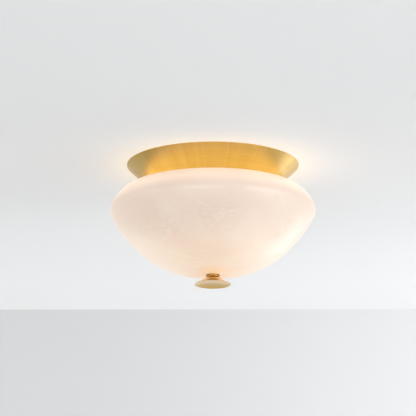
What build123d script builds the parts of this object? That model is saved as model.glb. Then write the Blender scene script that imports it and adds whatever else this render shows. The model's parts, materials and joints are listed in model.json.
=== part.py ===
from build123d import *
import math
import os

# A flush mount ceiling light: a turned stone bowl hung on a threaded rod under a spun brass canopy.
# Millimetres, Z up. The ceiling is Z = 0 and everything hangs below it, on the Z axis.
# The two lamps lie along X, one each side of the rod.

# Clearances
thread_gap = 0.05          # radial, a screw or rod in its tapped hole
hole_gap = 0.5             # radial, a screw or rod through a plain hole
seat_gap = 0.2             # between a piece and a seat that it can leave
turn_gap = 0.1             # under the ring that the finial turns against
lamp_cap_gap = 0.08        # radial, a lamp cap in its screw shell

shank_sides = 8            # the shanks of studs and small screws are bars of few sides

# Crossbar
bar_end = 7.0              # from a stud's axis to the bar's end
bar_width = 20.0
bar_thickness = 2.0
box_screw_spacing = 88.9   # the ceiling box's screws, 3 1/2 in apart
box_slot_length = 12.0
box_slot_width = 4.8
hub_radius = 8.0
hub_height = 3.0

# Threaded rod and its nuts
rod_radius = 5.0
rod_bore_radius = 3.4
rod_top_drop = 0.4
nut_across_flats = 14.0
nut_height = 3.0

# Canopy
canopy_radius = 149.0
canopy_depth = 50.0
canopy_wall = 1.2
canopy_slope = 43.0        # degrees from the ceiling
canopy_hem_width = 4.0
canopy_corner = 6.0
stud_spacing = 112.0
stud_radius = 2.0
stud_nut_across_flats = 7.0
stud_nut_height = 3.0
cap_nut_radius = 5.0
cap_nut_height = 8.0
cap_nut_bevel = 2.5

# Earth screw and lug
earth_screw_x = 24.0
earth_screw_radius = 2.0
earth_head_radius = 4.2
earth_head_height = 2.6
earth_lug_thickness = 1.0
earth_lug_radius = 5.0
earth_barrel_x = 15.0
earth_barrel_radius = 2.3
earth_barrel_length = 10.0

# Lampholder bracket
bracket_top = 60.0         # depth below the ceiling
bracket_width = 28.0
bracket_wall = 1.5
bracket_reach = 30.0       # from the rod's axis to the outer face of each tab
bracket_height = 48.0
bracket_bend = 3.0
lock_washer_radius = 8.5
lock_washer_height = 1.6

# Lampholders
lamp_axis_depth = 86.0
holder_base_radius = 21.0
holder_base_length = 7.0
holder_radius = 18.5
holder_length = 40.0
holder_floor = 12.0
holder_mouth_radius = 15.6
holder_mouth_length = 4.0
holder_edge = 1.2
shell_wall = 0.4
shell_gap = 0.12
shell_base_hole = 7.0
holder_screw_offset = 14.0
holder_screw_radius = 1.5
holder_screw_grip = 8.0
holder_head_radius = 2.8
holder_head_height = 1.8
leaf_width = 6.0
leaf_thickness = 0.5
leaf_foot = 4.0
leaf_reach = 4.0
leaf_height = 2.6

# Lamps: compact frosted bulbs, 48 mm across, on 26 mm screw caps
lamp_cap_radius = 13.0
lamp_cap_wall = 0.35
lamp_cap_length = 26.0
lamp_contact_radius = 4.2
lamp_contact_height = 1.2
lamp_insulator_radius = 6.5
lamp_insulator_height = 4.0
lamp_skirt_radius = 14.2
lamp_skirt_length = 3.8
lamp_radius = 24.0
lamp_length = 88.0
lamp_glass = 0.8
lamp_neck_radius = 12.3
lamp_neck_inside = 8.0     # how far the glass neck reaches into its cap
stem_radius = 3.0
stem_length = 30.0
stem_foot = 1.5
filament_radius = 0.9
filament_length = 24.0
filament_count = 4
filament_sides = 6
filament_foot_circle = 4.5
filament_lean = 9.0

# Bowl
bowl_radius = 179.3       # where the belly and the shoulder meet, before the ridge is rounded
bowl_rim_radius = 151.8
bowl_rim_depth = 46.8      # rim below the ceiling
bowl_shoulder = 35.9       # rim down to the widest ring
bowl_belly = 114.4         # widest ring down to the bottom
bowl_wall = 10.0
bowl_lip = 12.0
bowl_lip_round = 2.0
bowl_shoulder_rise = 4.0   # how far the shoulder's arc stands out from its chord
bowl_ridge_round = 18.0
bowl_round = 0.824         # exponents of the belly's curve
bowl_fall = 1.695
belly_stations = (20.0, 26.0, 42.0)  # degrees round it: one its first arc passes, two where arcs meet
bowl_hole_radius = 6.6
bowl_seat_radius = 15.0

# What clamps the bowl
cushion_radius = 14.0
cushion_height = 2.0
stop_washer_radius = 12.0
stop_washer_height = 1.5
lower_cushion_radius = 12.0
lower_cushion_height = 0.7
check_ring_radius = 10.8
check_ring_height = 1.0

# Finial
finial_neck_radius = 10.6
finial_neck_height = 0.6
finial_radius = 31.3
finial_height = 14.5
finial_edge = 0.8
finial_flare = 0.9         # how far the cone's outline bows in from a straight line
finial_dish = 4.0
finial_thread_depth = 9.4
rod_end_gap = 0.7

# Wiring
lead_radius = 1.3
lead_sides = 8
lead_bend = 8.0
lead_x = 17.0
lead_y = 8.0
lead_rise = 5.0            # the supply leads' height over the lamp axis
link_fall = 4.0            # the links' height under the lamp axis
link_sag = 4.0
link_straight = 12.0
tab_window_edge = 2.0      # from the outer wires' sides to the window's edges
plate_hole_radius = 3.0
grommet_hole_radius = 4.0
grommet_flange_radius = 5.0
grommet_flange_height = 1.4
grommet_length = 3.0
block_to_stud = 8.0        # from the block's far end to the stud's axis
block_length = 18.0
block_width = 28.0
block_height = 14.0
block_edge = 1.0
block_entry_height = 8.5
block_entry_radius = 2.0
block_entry_depth = 3.0
clamp_screw_radius = 2.0
clamp_screw_sink = 1.0
clamp_screw_length = 4.0
block_screw_radius = 1.5
block_screw_inset = 3.5    # from the block's far end
block_nut_across_flats = 5.5
block_nut_height = 2.4

# Places along X
bar_length = stud_spacing + 2 * bar_end
block_x = stud_spacing / 2 - block_to_stud - block_length
block_screw_x = block_x + block_length - block_screw_inset

# Levels, all negative
bar_bottom = -bar_thickness
hub_bottom = bar_bottom - hub_height
canopy_floor = -canopy_depth
canopy_floor_top = canopy_floor + canopy_wall
bracket_top_z = -bracket_top
bracket_under = bracket_top_z - bracket_wall
lamp_axis_z = -lamp_axis_depth
bowl_rim_z = -bowl_rim_depth
bowl_widest_z = bowl_rim_z - bowl_shoulder
bowl_bottom = bowl_widest_z - bowl_belly
bowl_floor = bowl_bottom + bowl_wall
cushion_bottom = bowl_floor + seat_gap
stop_washer_bottom = cushion_bottom + cushion_height
stop_nut_bottom = stop_washer_bottom + stop_washer_height
check_ring_top = bowl_bottom - lower_cushion_height
finial_top = check_ring_top - check_ring_height - turn_gap
finial_bottom = finial_top - finial_height
rod_top = -rod_top_drop
rod_end = finial_top - finial_thread_depth + rod_end_gap
block_bottom = canopy_floor_top
block_top = block_bottom + block_height
entry_z = block_bottom + block_entry_height
holder_end = bracket_reach + holder_length
shell_start = bracket_reach + holder_floor
lamp_start = shell_start + leaf_height + seat_gap
lamp_cap_start = lamp_start + lamp_contact_height + lamp_insulator_height
lamp_cap_end = lamp_start + lamp_cap_length
shell_inner_radius = lamp_cap_radius + lamp_cap_gap
shell_outer_radius = shell_inner_radius + shell_wall
holder_bore_radius = shell_outer_radius + shell_gap


def disc(radius, bottom, height, x=0.0, y=0.0):
    """An upright round bar, given by its lower end."""
    bar = Cylinder(radius, height, align=(Align.CENTER, Align.CENTER, Align.MIN))
    return Pos(x, y, bottom) * bar


def shank(radius, bottom, height, x=0.0, y=0.0):
    """The upright shank of a stud or a small screw."""
    return Pos(x, y, bottom) * extrude(RegularPolygon(radius, shank_sides), height)


def washer(radius, hole_radius, bottom, height, x=0.0, y=0.0):
    return disc(radius, bottom, height, x, y) - disc(hole_radius, bottom, height, x, y)


def hex_nut(across_flats, hole_radius, bottom, height, x=0.0, y=0.0):
    hexagon = RegularPolygon(across_flats / 2, 6, major_radius=False)
    body = Pos(x, y, bottom) * extrude(hexagon, height)
    return body - disc(hole_radius, bottom, height, x, y)


def turned(*outline):
    """A solid of revolution about Z from a closed outline drawn as (radius, height)."""
    return revolve(Plane.XZ * make_face(outline), Axis.Z)


def on_lamp_axis(side, solid):
    """Lay a solid made about Z along the lamp axis, on the side given by -1 or +1."""
    place = Plane(origin=(0, 0, lamp_axis_z), x_dir=(0, 1, 0), z_dir=(side, 0, 0))
    return place.location * solid


def make_crossbar():
    bar = Pos(0, 0, bar_bottom) * extrude(SlotOverall(bar_length, bar_width), bar_thickness)
    bar += disc(hub_radius, hub_bottom, hub_height)
    bar -= disc(rod_radius + thread_gap, hub_bottom, bar_thickness + hub_height)
    slot = Pos(0, 0, bar_bottom) * extrude(SlotOverall(box_slot_length, box_slot_width), bar_thickness)
    for side in (-1, 1):
        bar -= Pos(side * box_screw_spacing / 2, 0, 0) * slot
        bar -= disc(stud_radius + thread_gap, bar_bottom, bar_thickness, side * stud_spacing / 2)
    bar -= disc(earth_screw_radius + thread_gap, bar_bottom, bar_thickness, earth_screw_x)
    return bar


def make_canopy():
    slope = math.radians(canopy_slope)
    run_per_drop = 1 / math.tan(slope)
    wall_across = canopy_wall / math.sin(slope)
    floor_radius = canopy_radius - (canopy_depth - canopy_wall) * run_per_drop
    inner_top_radius = canopy_radius - wall_across
    inner_drop = canopy_depth - 2 * canopy_wall
    inner_floor_radius = inner_top_radius - inner_drop * run_per_drop
    hem_radius = canopy_radius - canopy_hem_width
    centre_hole = rod_radius + hole_gap
    outline = FilletPolyline(
        (centre_hole, canopy_floor),
        (floor_radius, canopy_floor),
        (canopy_radius, -canopy_wall),
        (canopy_radius, 0),
        (hem_radius, 0),
        (hem_radius, -canopy_wall),
        (inner_top_radius, -canopy_wall),
        (inner_floor_radius, canopy_floor_top),
        (centre_hole, canopy_floor_top),
        radius=[0, canopy_corner, 0, 0, 0, 0, 0, canopy_corner - canopy_wall, 0],
        close=True,
    )
    canopy = turned(*outline.edges())
    for side in (-1, 1):
        canopy -= disc(stud_radius + hole_gap, canopy_floor, canopy_wall, side * stud_spacing / 2)
        canopy -= disc(grommet_hole_radius, canopy_floor, canopy_wall, lead_x, side * lead_y)
    canopy -= disc(block_screw_radius + thread_gap, canopy_floor, canopy_wall, block_screw_x)
    return canopy


def make_studs():
    length = canopy_depth + cap_nut_height - cap_nut_bevel - rod_top_drop
    stud = shank(stud_radius, rod_top - length, length)
    return [Pos(side * stud_spacing / 2, 0, 0) * stud for side in (-1, 1)]


def make_stud_nuts():
    bore = stud_radius + thread_gap
    bottom = bar_bottom - stud_nut_height
    places = [side * stud_spacing / 2 for side in (-1, 1)]
    return [hex_nut(stud_nut_across_flats, bore, bottom, stud_nut_height, x) for x in places]


def make_cap_nuts():
    bottom = canopy_floor - cap_nut_height
    body = disc(cap_nut_radius, bottom, cap_nut_height)
    body = chamfer(body.edges().group_by(Axis.Z)[0], cap_nut_bevel)
    bore_depth = cap_nut_height - cap_nut_bevel + hole_gap
    body -= disc(stud_radius + thread_gap, canopy_floor - bore_depth, bore_depth)
    return [Pos(side * stud_spacing / 2, 0, 0) * body for side in (-1, 1)]


def make_earth_screw():
    lug_bottom = bar_bottom - earth_lug_thickness
    shank_length = rod_top - lug_bottom
    screw = shank(earth_screw_radius, lug_bottom, shank_length, earth_screw_x)
    screw += disc(earth_head_radius, lug_bottom - earth_head_height, earth_head_height, earth_screw_x)
    return screw


def make_earth_lug():
    bottom = bar_bottom - earth_lug_thickness
    tail_length = earth_screw_x - earth_barrel_x
    tail_width = 2 * earth_barrel_radius
    lug = disc(earth_lug_radius, bottom, earth_lug_thickness, earth_screw_x)
    tail = Box(tail_length, tail_width, earth_lug_thickness, align=(Align.MIN, Align.CENTER, Align.MIN))
    lug += Pos(earth_barrel_x, 0, bottom) * tail
    lug += disc(earth_barrel_radius, bar_bottom - earth_barrel_length, earth_barrel_length, earth_barrel_x)
    lug -= disc(earth_screw_radius + thread_gap, bottom, earth_lug_thickness, earth_screw_x)
    return lug


def make_bracket():
    outer = bracket_reach
    inner = bracket_reach - bracket_wall
    foot = bracket_top_z - bracket_height
    inner_bend = bracket_bend - bracket_wall
    outline = FilletPolyline(
        (-outer, foot),
        (-outer, bracket_top_z),
        (outer, bracket_top_z),
        (outer, foot),
        (inner, foot),
        (inner, bracket_under),
        (-inner, bracket_under),
        (-inner, foot),
        radius=[0, bracket_bend, bracket_bend, 0, 0, inner_bend, inner_bend, 0],
        close=True,
    )
    bracket = extrude(Plane.XZ * make_face(outline.edges()), bracket_width / 2, both=True)
    bracket -= disc(rod_radius + thread_gap, bracket_under, bracket_wall)
    window_margin = lead_radius + tab_window_edge
    window_width = 2 * (lead_y + window_margin)
    window_height = lead_rise + link_fall + 2 * window_margin
    window_middle = lamp_axis_z + (lead_rise - link_fall) / 2
    bracket -= Pos(0, 0, window_middle) * Box(2 * outer, window_width, window_height)
    for row in (-1, 1):
        bracket -= disc(plate_hole_radius, bracket_under, bracket_wall, lead_x, row * lead_y)
        for side in (-1, 1):
            height = row * holder_screw_offset
            hole = Pos(0, height, inner) * Cylinder(holder_screw_radius + thread_gap, 3 * bracket_wall)
            bracket -= on_lamp_axis(side, hole)
    return bracket


def make_holder(side):
    mouth = holder_end - holder_mouth_length
    outline = Polyline(
        (0, bracket_reach),
        (holder_base_radius, bracket_reach),
        (holder_base_radius, bracket_reach + holder_base_length - holder_edge),
        (holder_base_radius - holder_edge, bracket_reach + holder_base_length),
        (holder_radius, bracket_reach + holder_base_length),
        (holder_radius, holder_end - holder_edge),
        (holder_radius - holder_edge, holder_end),
        (holder_mouth_radius, holder_end),
        (holder_mouth_radius, mouth),
        (holder_bore_radius, mouth),
        (holder_bore_radius, shell_start),
        (0, shell_start),
        close=True,
    )
    holder = turned(*outline.edges())
    for row in (-1, 1):
        height = row * holder_screw_offset
        bore = disc(holder_screw_radius + thread_gap, bracket_reach, holder_screw_grip + hole_gap, 0, height)
        holder -= bore
    return on_lamp_axis(side, holder)


def make_holder_screws(side):
    under_head = bracket_reach - bracket_wall
    shank_length = bracket_wall + holder_screw_grip
    screw = shank(holder_screw_radius, under_head, shank_length)
    screw += disc(holder_head_radius, under_head - holder_head_height, holder_head_height)
    rows = [row * holder_screw_offset for row in (-1, 1)]
    return [on_lamp_axis(side, Pos(0, height, 0) * screw) for height in rows]


def make_shell(side):
    length = holder_length - holder_floor - holder_mouth_length
    shell = washer(shell_outer_radius, shell_inner_radius, shell_start, length)
    shell += washer(shell_outer_radius, shell_base_hole, shell_start, shell_wall)
    return on_lamp_axis(side, shell)


def make_leaf(side):
    """The bent spring that meets the lamp's end contact."""
    top = shell_start + leaf_height
    under = top - leaf_thickness
    outline = Polyline(
        (-leaf_foot - leaf_reach / 2, shell_start),
        (-leaf_reach / 2, shell_start),
        (0, under),
        (leaf_reach / 2 + leaf_thickness, under),
        (leaf_reach / 2 + leaf_thickness, top),
        (-leaf_thickness / 2, top),
        (-leaf_reach / 2 - leaf_thickness / 2, shell_start + leaf_thickness),
        (-leaf_foot - leaf_reach / 2, shell_start + leaf_thickness),
        close=True,
    )
    leaf = extrude(Plane.XZ * make_face(outline.edges()), leaf_width / 2, both=True)
    return on_lamp_axis(side, leaf)


def make_lamp_contact(side):
    contact = disc(lamp_contact_radius, lamp_start, lamp_contact_height)
    return on_lamp_axis(side, contact)


def make_lamp_insulator(side):
    start = lamp_start + lamp_contact_height
    cone = Cone(lamp_insulator_radius, lamp_cap_radius - 2 * lamp_cap_wall, lamp_insulator_height,
                align=(Align.CENTER, Align.CENTER, Align.MIN))
    return on_lamp_axis(side, Pos(0, 0, start) * cone)


def make_lamp_cap(side):
    inner = lamp_cap_radius - lamp_cap_wall
    skirt_start = lamp_cap_end - lamp_skirt_length
    outline = Polyline(
        (lamp_insulator_radius, lamp_cap_start),
        (lamp_cap_radius, lamp_cap_start),
        (lamp_cap_radius, skirt_start),
        (lamp_skirt_radius, lamp_cap_end),
        (lamp_skirt_radius - lamp_cap_wall, lamp_cap_end),
        (inner, skirt_start),
        (inner, lamp_cap_start + lamp_cap_wall),
        (lamp_insulator_radius, lamp_cap_start + lamp_cap_wall),
        close=True,
    )
    return on_lamp_axis(side, turned(*outline.edges()))


def lamp_outline(inset):
    """The bulb's outline from its neck to its tip, moved in by the glass thickness given."""
    ball = lamp_radius - inset
    neck = lamp_neck_radius - inset
    ball_centre = lamp_start + lamp_length - lamp_radius
    rise = ball_centre - lamp_cap_end
    swell_radius = (neck ** 2 + rise ** 2 - ball ** 2) / (2 * (ball - neck))
    share = ball / (ball + swell_radius)
    meet = (share * (neck + swell_radius), ball_centre - share * rise)
    tip = (0, ball_centre + ball)
    neck_line = Line((neck, lamp_cap_end - lamp_neck_inside), (neck, lamp_cap_end))
    swell = TangentArc((neck, lamp_cap_end), meet, tangent=(0, 1))
    dome = TangentArc(meet, tip, tangent=swell % 1)
    return [neck_line, swell, dome]


def make_lamp_glass(side):
    outer = lamp_outline(0)
    inner = lamp_outline(lamp_glass)
    foot = Line(outer[0] @ 0, inner[0] @ 0)
    tip = Line(outer[2] @ 1, inner[2] @ 1)
    return on_lamp_axis(side, turned(*outer, *inner, foot, tip))


def make_lamp_stem(side):
    foot_start = lamp_cap_end - lamp_neck_inside
    foot = disc(lamp_neck_radius - lamp_glass - thread_gap, foot_start, stem_foot)
    return on_lamp_axis(side, foot + shank(stem_radius, foot_start, stem_length))


def make_filaments(side):
    start = lamp_cap_end - lamp_neck_inside + stem_length - stem_foot
    sticks = []
    for index in range(filament_count):
        turn = 360 * (index + 0.5) / filament_count
        stick = extrude(RegularPolygon(filament_radius, filament_sides), filament_length)
        leaning = Rot(0, filament_lean, 0) * stick
        placed = Rot(0, 0, turn) * Pos(filament_foot_circle, 0, start) * leaning
        sticks.append(on_lamp_axis(side, placed))
    return sticks


def belly_arcs(radius, depth):
    """The bowl's belly from its widest ring to its flat bottom: three arcs that run into each other."""
    stations = []
    for degrees in belly_stations:
        angle = math.radians(degrees)
        across = radius * math.cos(angle) ** bowl_round
        down = depth * math.sin(angle) ** bowl_fall
        stations.append((across, bowl_widest_z - down))
    passed, first_join, second_join = stations
    upper = ThreePointArc((radius, bowl_widest_z), passed, first_join)
    flank = TangentArc(first_join, second_join, tangent=upper % 1)
    base = TangentArc(second_join, (bowl_seat_radius, bowl_widest_z - depth), tangent=flank % 1)
    return [upper, flank, base]


def shoulder_arc(widest, rim):
    """The bowl's shoulder, an arc that stands out from the line between its ends."""
    middle = ((widest[0] + rim[0]) / 2, (widest[1] + rim[1]) / 2)
    chord = (rim[0] - widest[0], rim[1] - widest[1])
    length = math.hypot(*chord)
    share = bowl_shoulder_rise / length
    bulge = (middle[0] + chord[1] * share, middle[1] - chord[0] * share)
    return ThreePointArc(widest, bulge, rim)


def make_bowl():
    """The stone bowl, turned from one closed outline with a rounded ridge and lip."""
    inner_radius = bowl_radius - bowl_wall
    inner_rim = bowl_rim_radius - bowl_lip
    outer_belly = belly_arcs(bowl_radius, bowl_belly)
    inner_belly = belly_arcs(inner_radius, bowl_belly - bowl_wall)
    outer_shoulder = shoulder_arc((bowl_radius, bowl_widest_z), (bowl_rim_radius, bowl_rim_z))
    inner_shoulder = shoulder_arc((inner_radius, bowl_widest_z), (inner_rim, bowl_rim_z))
    lip = Line((bowl_rim_radius, bowl_rim_z), (inner_rim, bowl_rim_z))
    under = Line((bowl_seat_radius, bowl_bottom), (bowl_hole_radius, bowl_bottom))
    hole = Line((bowl_hole_radius, bowl_bottom), (bowl_hole_radius, bowl_floor))
    over = Line((bowl_hole_radius, bowl_floor), (bowl_seat_radius, bowl_floor))
    outside = [*outer_belly, outer_shoulder, lip]
    inside = [inner_shoulder, *inner_belly]
    outline = make_face([*outside, *inside, over, hole, under])
    outline = fillet(outline.vertices().sort_by(Axis.X)[-1], bowl_ridge_round)
    outline = fillet(outline.vertices().group_by(Axis.Y)[-1], bowl_lip_round)
    return revolve(Plane.XZ * outline, Axis.Z)


def make_finial():
    neck_end = finial_top - finial_neck_height
    edge_top = finial_bottom + finial_edge
    middle = ((finial_neck_radius + finial_radius) / 2 - finial_flare,
              (neck_end + edge_top) / 2 - finial_flare)
    dish_centre = finial_bottom + finial_dish
    dish_ball = (finial_radius ** 2 + finial_dish ** 2) / (2 * finial_dish)
    half_radius = finial_radius / 2
    half_dish = (half_radius, dish_centre - dish_ball + math.sqrt(dish_ball ** 2 - half_radius ** 2))
    outline = [
        Line((0, dish_centre), (0, finial_top)),
        Line((0, finial_top), (finial_neck_radius, finial_top)),
        Line((finial_neck_radius, finial_top), (finial_neck_radius, neck_end)),
        ThreePointArc((finial_neck_radius, neck_end), middle, (finial_radius, edge_top)),
        Line((finial_radius, edge_top), (finial_radius, finial_bottom)),
        ThreePointArc((finial_radius, finial_bottom), half_dish, (0, dish_centre)),
    ]
    finial = turned(*outline)
    return finial - disc(rod_radius + thread_gap, finial_top - finial_thread_depth, finial_thread_depth)


def lead(points, radii):
    """A wire along straight runs joined by arcs, one radius for each corner."""
    path = FilletPolyline(*points, radius=radii)
    start = Plane(origin=path @ 0, z_dir=path % 0)
    return sweep(start * RegularPolygon(lead_radius, lead_sides), path=path)


def make_supply_lead(row):
    y = row * lead_y
    z = lamp_axis_z + lead_rise
    end = (block_x + block_entry_depth, y, entry_z)
    points = [(bracket_reach, y, z), (lead_x, y, z), (lead_x, y, entry_z), end]
    return lead(points, [lead_bend, lead_bend])


def make_link(row):
    """A wire from one lampholder to the other, straight at its ends and sagging between."""
    y = row * lead_y
    z = lamp_axis_z - link_fall
    knee = bracket_reach - link_straight
    low = z - link_sag
    points = [(bracket_reach, y, z), (knee, y, z), (0, y, low), (-knee, y, z), (-bracket_reach, y, z)]
    bend = math.atan2(link_sag, knee)
    end_radius = 0.45 * min(link_straight, math.hypot(knee, link_sag)) / math.tan(bend / 2)
    middle_radius = 0.45 * math.hypot(knee, link_sag) / math.tan(bend)
    return lead(points, [end_radius, middle_radius, end_radius])


def make_earth_lead():
    barrel_end = bar_bottom - earth_barrel_length
    end = (block_x + block_entry_depth, 0, entry_z)
    points = [(earth_barrel_x, 0, barrel_end), (earth_barrel_x, 0, entry_z), end]
    return lead(points, [lead_bend])


def make_grommets():
    inner = lead_radius + thread_gap
    bottom = canopy_floor - grommet_flange_height
    body = washer(grommet_hole_radius, inner, bottom, grommet_length)
    body += washer(grommet_flange_radius, inner, bottom, grommet_flange_height)
    return [Pos(lead_x, row * lead_y, 0) * body for row in (-1, 1)]


def clamp_places():
    x = block_x + block_entry_depth + clamp_screw_radius
    return [(x, row * lead_y) for row in (-1, 0, 1)]


def make_block():
    body = Box(block_length, block_width, block_height, align=(Align.MIN, Align.CENTER, Align.MIN))
    body = Pos(block_x, 0, block_bottom) * body
    body = chamfer(body.edges().group_by(Axis.Z)[-1], block_edge)
    well_depth = clamp_screw_sink + clamp_screw_length
    for x, y in clamp_places():
        body -= disc(clamp_screw_radius + thread_gap, block_top - well_depth, well_depth, x, y)
        entry = Pos(block_x, y, entry_z) * Rot(0, 90, 0) * disc(block_entry_radius, 0, block_entry_depth)
        body -= entry
    body -= disc(block_screw_radius + thread_gap, block_bottom, block_height, block_screw_x)
    return body


def make_clamp_screws():
    bottom = block_top - clamp_screw_sink - clamp_screw_length
    return [shank(clamp_screw_radius, bottom, clamp_screw_length, x, y) for x, y in clamp_places()]


def make_block_screw():
    end = canopy_floor - block_nut_height
    screw = shank(block_screw_radius, end, block_top - end, block_screw_x)
    head = disc(holder_head_radius, block_top, holder_head_height, block_screw_x)
    return screw + head


nodes = {
    "crossbar": make_crossbar(),
    "earth_screw": make_earth_screw(),
    "earth_lug": make_earth_lug(),
    "canopy": make_canopy(),
    "canopy_studs": make_studs(),
    "stud_lock_nuts": make_stud_nuts(),
    "canopy_cap_nuts": make_cap_nuts(),
    "threaded_rod": washer(rod_radius, rod_bore_radius, rod_end, rod_top - rod_end),
    "hub_lock_nut": hex_nut(nut_across_flats, rod_radius + thread_gap, hub_bottom - nut_height, nut_height),
    "bracket_upper_nut": hex_nut(nut_across_flats, rod_radius + thread_gap, bracket_top_z, nut_height),
    "bracket_lock_washer": washer(lock_washer_radius, rod_radius + thread_gap,
                                  bracket_under - lock_washer_height, lock_washer_height),
    "bracket_lower_nut": hex_nut(nut_across_flats, rod_radius + thread_gap,
                                 bracket_under - lock_washer_height - nut_height, nut_height),
    "lampholder_bracket": make_bracket(),
    "terminal_block": make_block(),
    "terminal_clamp_screws": make_clamp_screws(),
    "terminal_fixing_screw": make_block_screw(),
    "terminal_fixing_nut": hex_nut(block_nut_across_flats, block_screw_radius + thread_gap,
                                   canopy_floor - block_nut_height, block_nut_height, block_screw_x),
    "lead_grommets": make_grommets(),
    "live_lead": make_supply_lead(1),
    "neutral_lead": make_supply_lead(-1),
    "live_link": make_link(1),
    "neutral_link": make_link(-1),
    "earth_lead": make_earth_lead(),
    "bowl_stop_nut": hex_nut(nut_across_flats, rod_radius + thread_gap, stop_nut_bottom, nut_height),
    "bowl_stop_washer": washer(stop_washer_radius, rod_radius + thread_gap,
                               stop_washer_bottom, stop_washer_height),
    "upper_cushion": washer(cushion_radius, rod_radius + thread_gap, cushion_bottom, cushion_height),
    "alabaster_bowl": make_bowl(),
    "lower_cushion": washer(lower_cushion_radius, rod_radius + hole_gap,
                            check_ring_top, lower_cushion_height),
    "check_ring": washer(check_ring_radius, rod_radius + hole_gap, finial_top + turn_gap, check_ring_height),
    "finial": make_finial(),
}
for name, side in (("left", -1), ("right", 1)):
    nodes[f"lampholder_{name}"] = make_holder(side)
    nodes[f"holder_screws_{name}"] = make_holder_screws(side)
    nodes[f"screw_shell_{name}"] = make_shell(side)
    nodes[f"contact_leaf_{name}"] = make_leaf(side)
    nodes[f"bulb_contact_{name}"] = make_lamp_contact(side)
    nodes[f"bulb_insulator_{name}"] = make_lamp_insulator(side)
    nodes[f"bulb_cap_{name}"] = make_lamp_cap(side)
    nodes[f"bulb_glass_{name}"] = make_lamp_glass(side)
    nodes[f"bulb_stem_{name}"] = make_lamp_stem(side)
    nodes[f"bulb_filaments_{name}"] = make_filaments(side)

os.makedirs("parts", exist_ok=True)
for name, shape in nodes.items():
    solids = shape if isinstance(shape, list) else [shape]
    export_step(Compound(children=[Compound(solid.solids()) for solid in solids]), f"parts/{name}.step")
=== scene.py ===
import json
import math

import bmesh
import bpy
from mathutils import Matrix, Vector


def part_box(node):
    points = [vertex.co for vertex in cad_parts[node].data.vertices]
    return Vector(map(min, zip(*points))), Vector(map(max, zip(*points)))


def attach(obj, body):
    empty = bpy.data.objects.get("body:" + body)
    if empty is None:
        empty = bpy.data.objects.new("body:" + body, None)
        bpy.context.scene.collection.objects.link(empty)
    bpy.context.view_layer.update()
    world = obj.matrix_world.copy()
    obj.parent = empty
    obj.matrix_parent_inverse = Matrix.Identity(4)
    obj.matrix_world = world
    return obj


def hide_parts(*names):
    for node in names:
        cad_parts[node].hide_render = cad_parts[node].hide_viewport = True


# The looks of a flush mount ceiling light: a lit alabaster bowl under a spun brass canopy.
# Metres, Z up. The ceiling is Z = 0 and the light hangs below it, on the Z axis.

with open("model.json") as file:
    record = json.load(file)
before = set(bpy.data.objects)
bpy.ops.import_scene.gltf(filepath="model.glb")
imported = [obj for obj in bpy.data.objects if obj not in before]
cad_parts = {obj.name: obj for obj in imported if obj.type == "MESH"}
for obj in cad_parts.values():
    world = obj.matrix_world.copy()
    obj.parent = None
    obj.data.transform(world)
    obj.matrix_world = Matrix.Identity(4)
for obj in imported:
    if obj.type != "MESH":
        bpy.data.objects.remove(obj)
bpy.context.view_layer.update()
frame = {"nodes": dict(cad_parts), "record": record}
nodes = frame["nodes"]

# The height of the lamps' shared axis, and the two places where the glow painted on the stone is brightest
shell_low, shell_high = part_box("screw_shell_left")
LAMP_AXIS = (shell_low.z + shell_high.z) / 2
LAMP_GLOW_POINTS = ((-0.098, -0.016, -0.132), (0.082, -0.030, -0.118))
LAMP_GLOW_SPREAD = 0.095
LAMP_THREAD_PITCH = 0.0036

# A point inside the bowl, from which its wall is seen to face in or out
BOWL_MIDDLE = (0, 0, -0.100)

# Rows of vertices: for each turn of a cut thread, and up a plain bore
ROWS_PER_TURN = 4
BORE_ROWS = 2

# Screws: the height of a head, the radius of a shank, and the slots in the head
SLOT_WIDTH = 0.0006
SLOT_DEPTH = 0.0008
SMALL_HEAD = 0.0018
SMALL_SHANK = 0.0015
SMALL_CROSS = 0.0036
CLAMP_TIP = 0.0005
CLAMP_TIP_SHARE = 0.98
CLAMP_SLOT = 0.0034
EARTH_HEAD = 0.0026
EARTH_SHANK = 0.002
EARTH_SLOT = 0.0064

# A head's dome draws in this share of its radius, and the shank reaches up this share of its height
HEAD_DOME = 0.28
SHANK_OVERLAP = 0.3

# One tooth of the lock washer and one knurl of a cap nut: outwards, round and up
WASHER_TOOTH = (0.0016, 0.0014, 0.0007)
WASHER_TOOTH_INSET = 0.0004
KNURL = (0.0006, 0.0004, 0.0036)
KNURL_INSET = 0.0001
KNURL_DROP = 0.0028

# The room: its back wall's place, its floor's height, and how far it reaches
ROOM_BACK = 1.074
ROOM_FLOOR = -2.4
ROOM_WIDTH = 14
ROOM_DEPTH = 10

# The heights between which the room's brightness is lifted less and less towards the floor
LIFT_FULL = -0.3
LIFT_NONE = -0.9

# The camera's place, what it looks at, and where the lamps outside the frame point
CAMERA_PLACE = (0, -6.188, -1.743)
CAMERA_TARGET = (-0.0083, 0, -0.077)
CAMERA_LENS = 320.2
LIGHT_TARGET = (0, 0, -0.12)


def tint(red, green, blue):
    """A colour from its 0 to 255 screen values."""
    def channel(value):
        value = value / 255
        return value / 12.92 if value <= 0.04045 else ((value + 0.055) / 1.055) ** 2.4
    return (channel(red), channel(green), channel(blue), 1.0)


# Small words for building node trees

def add(tree, kind, inputs=None, **settings):
    """Add a node. An input's value is a number, a colour or the socket that feeds it."""
    node = tree.nodes.new(kind)
    for name, value in settings.items():
        setattr(node, name, value)
    for name, value in (inputs or {}).items():
        feed(tree, node.inputs[name], value)
    return node


def feed(tree, socket, value):
    if isinstance(value, bpy.types.NodeSocket):
        tree.links.new(value, socket)
    else:
        socket.default_value = value


def calc(tree, operation, *values, clamp=False):
    node = add(tree, "ShaderNodeMath", operation=operation, use_clamp=clamp)
    for socket, value in zip(node.inputs, values):
        feed(tree, socket, value)
    return node.outputs[0]


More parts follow.
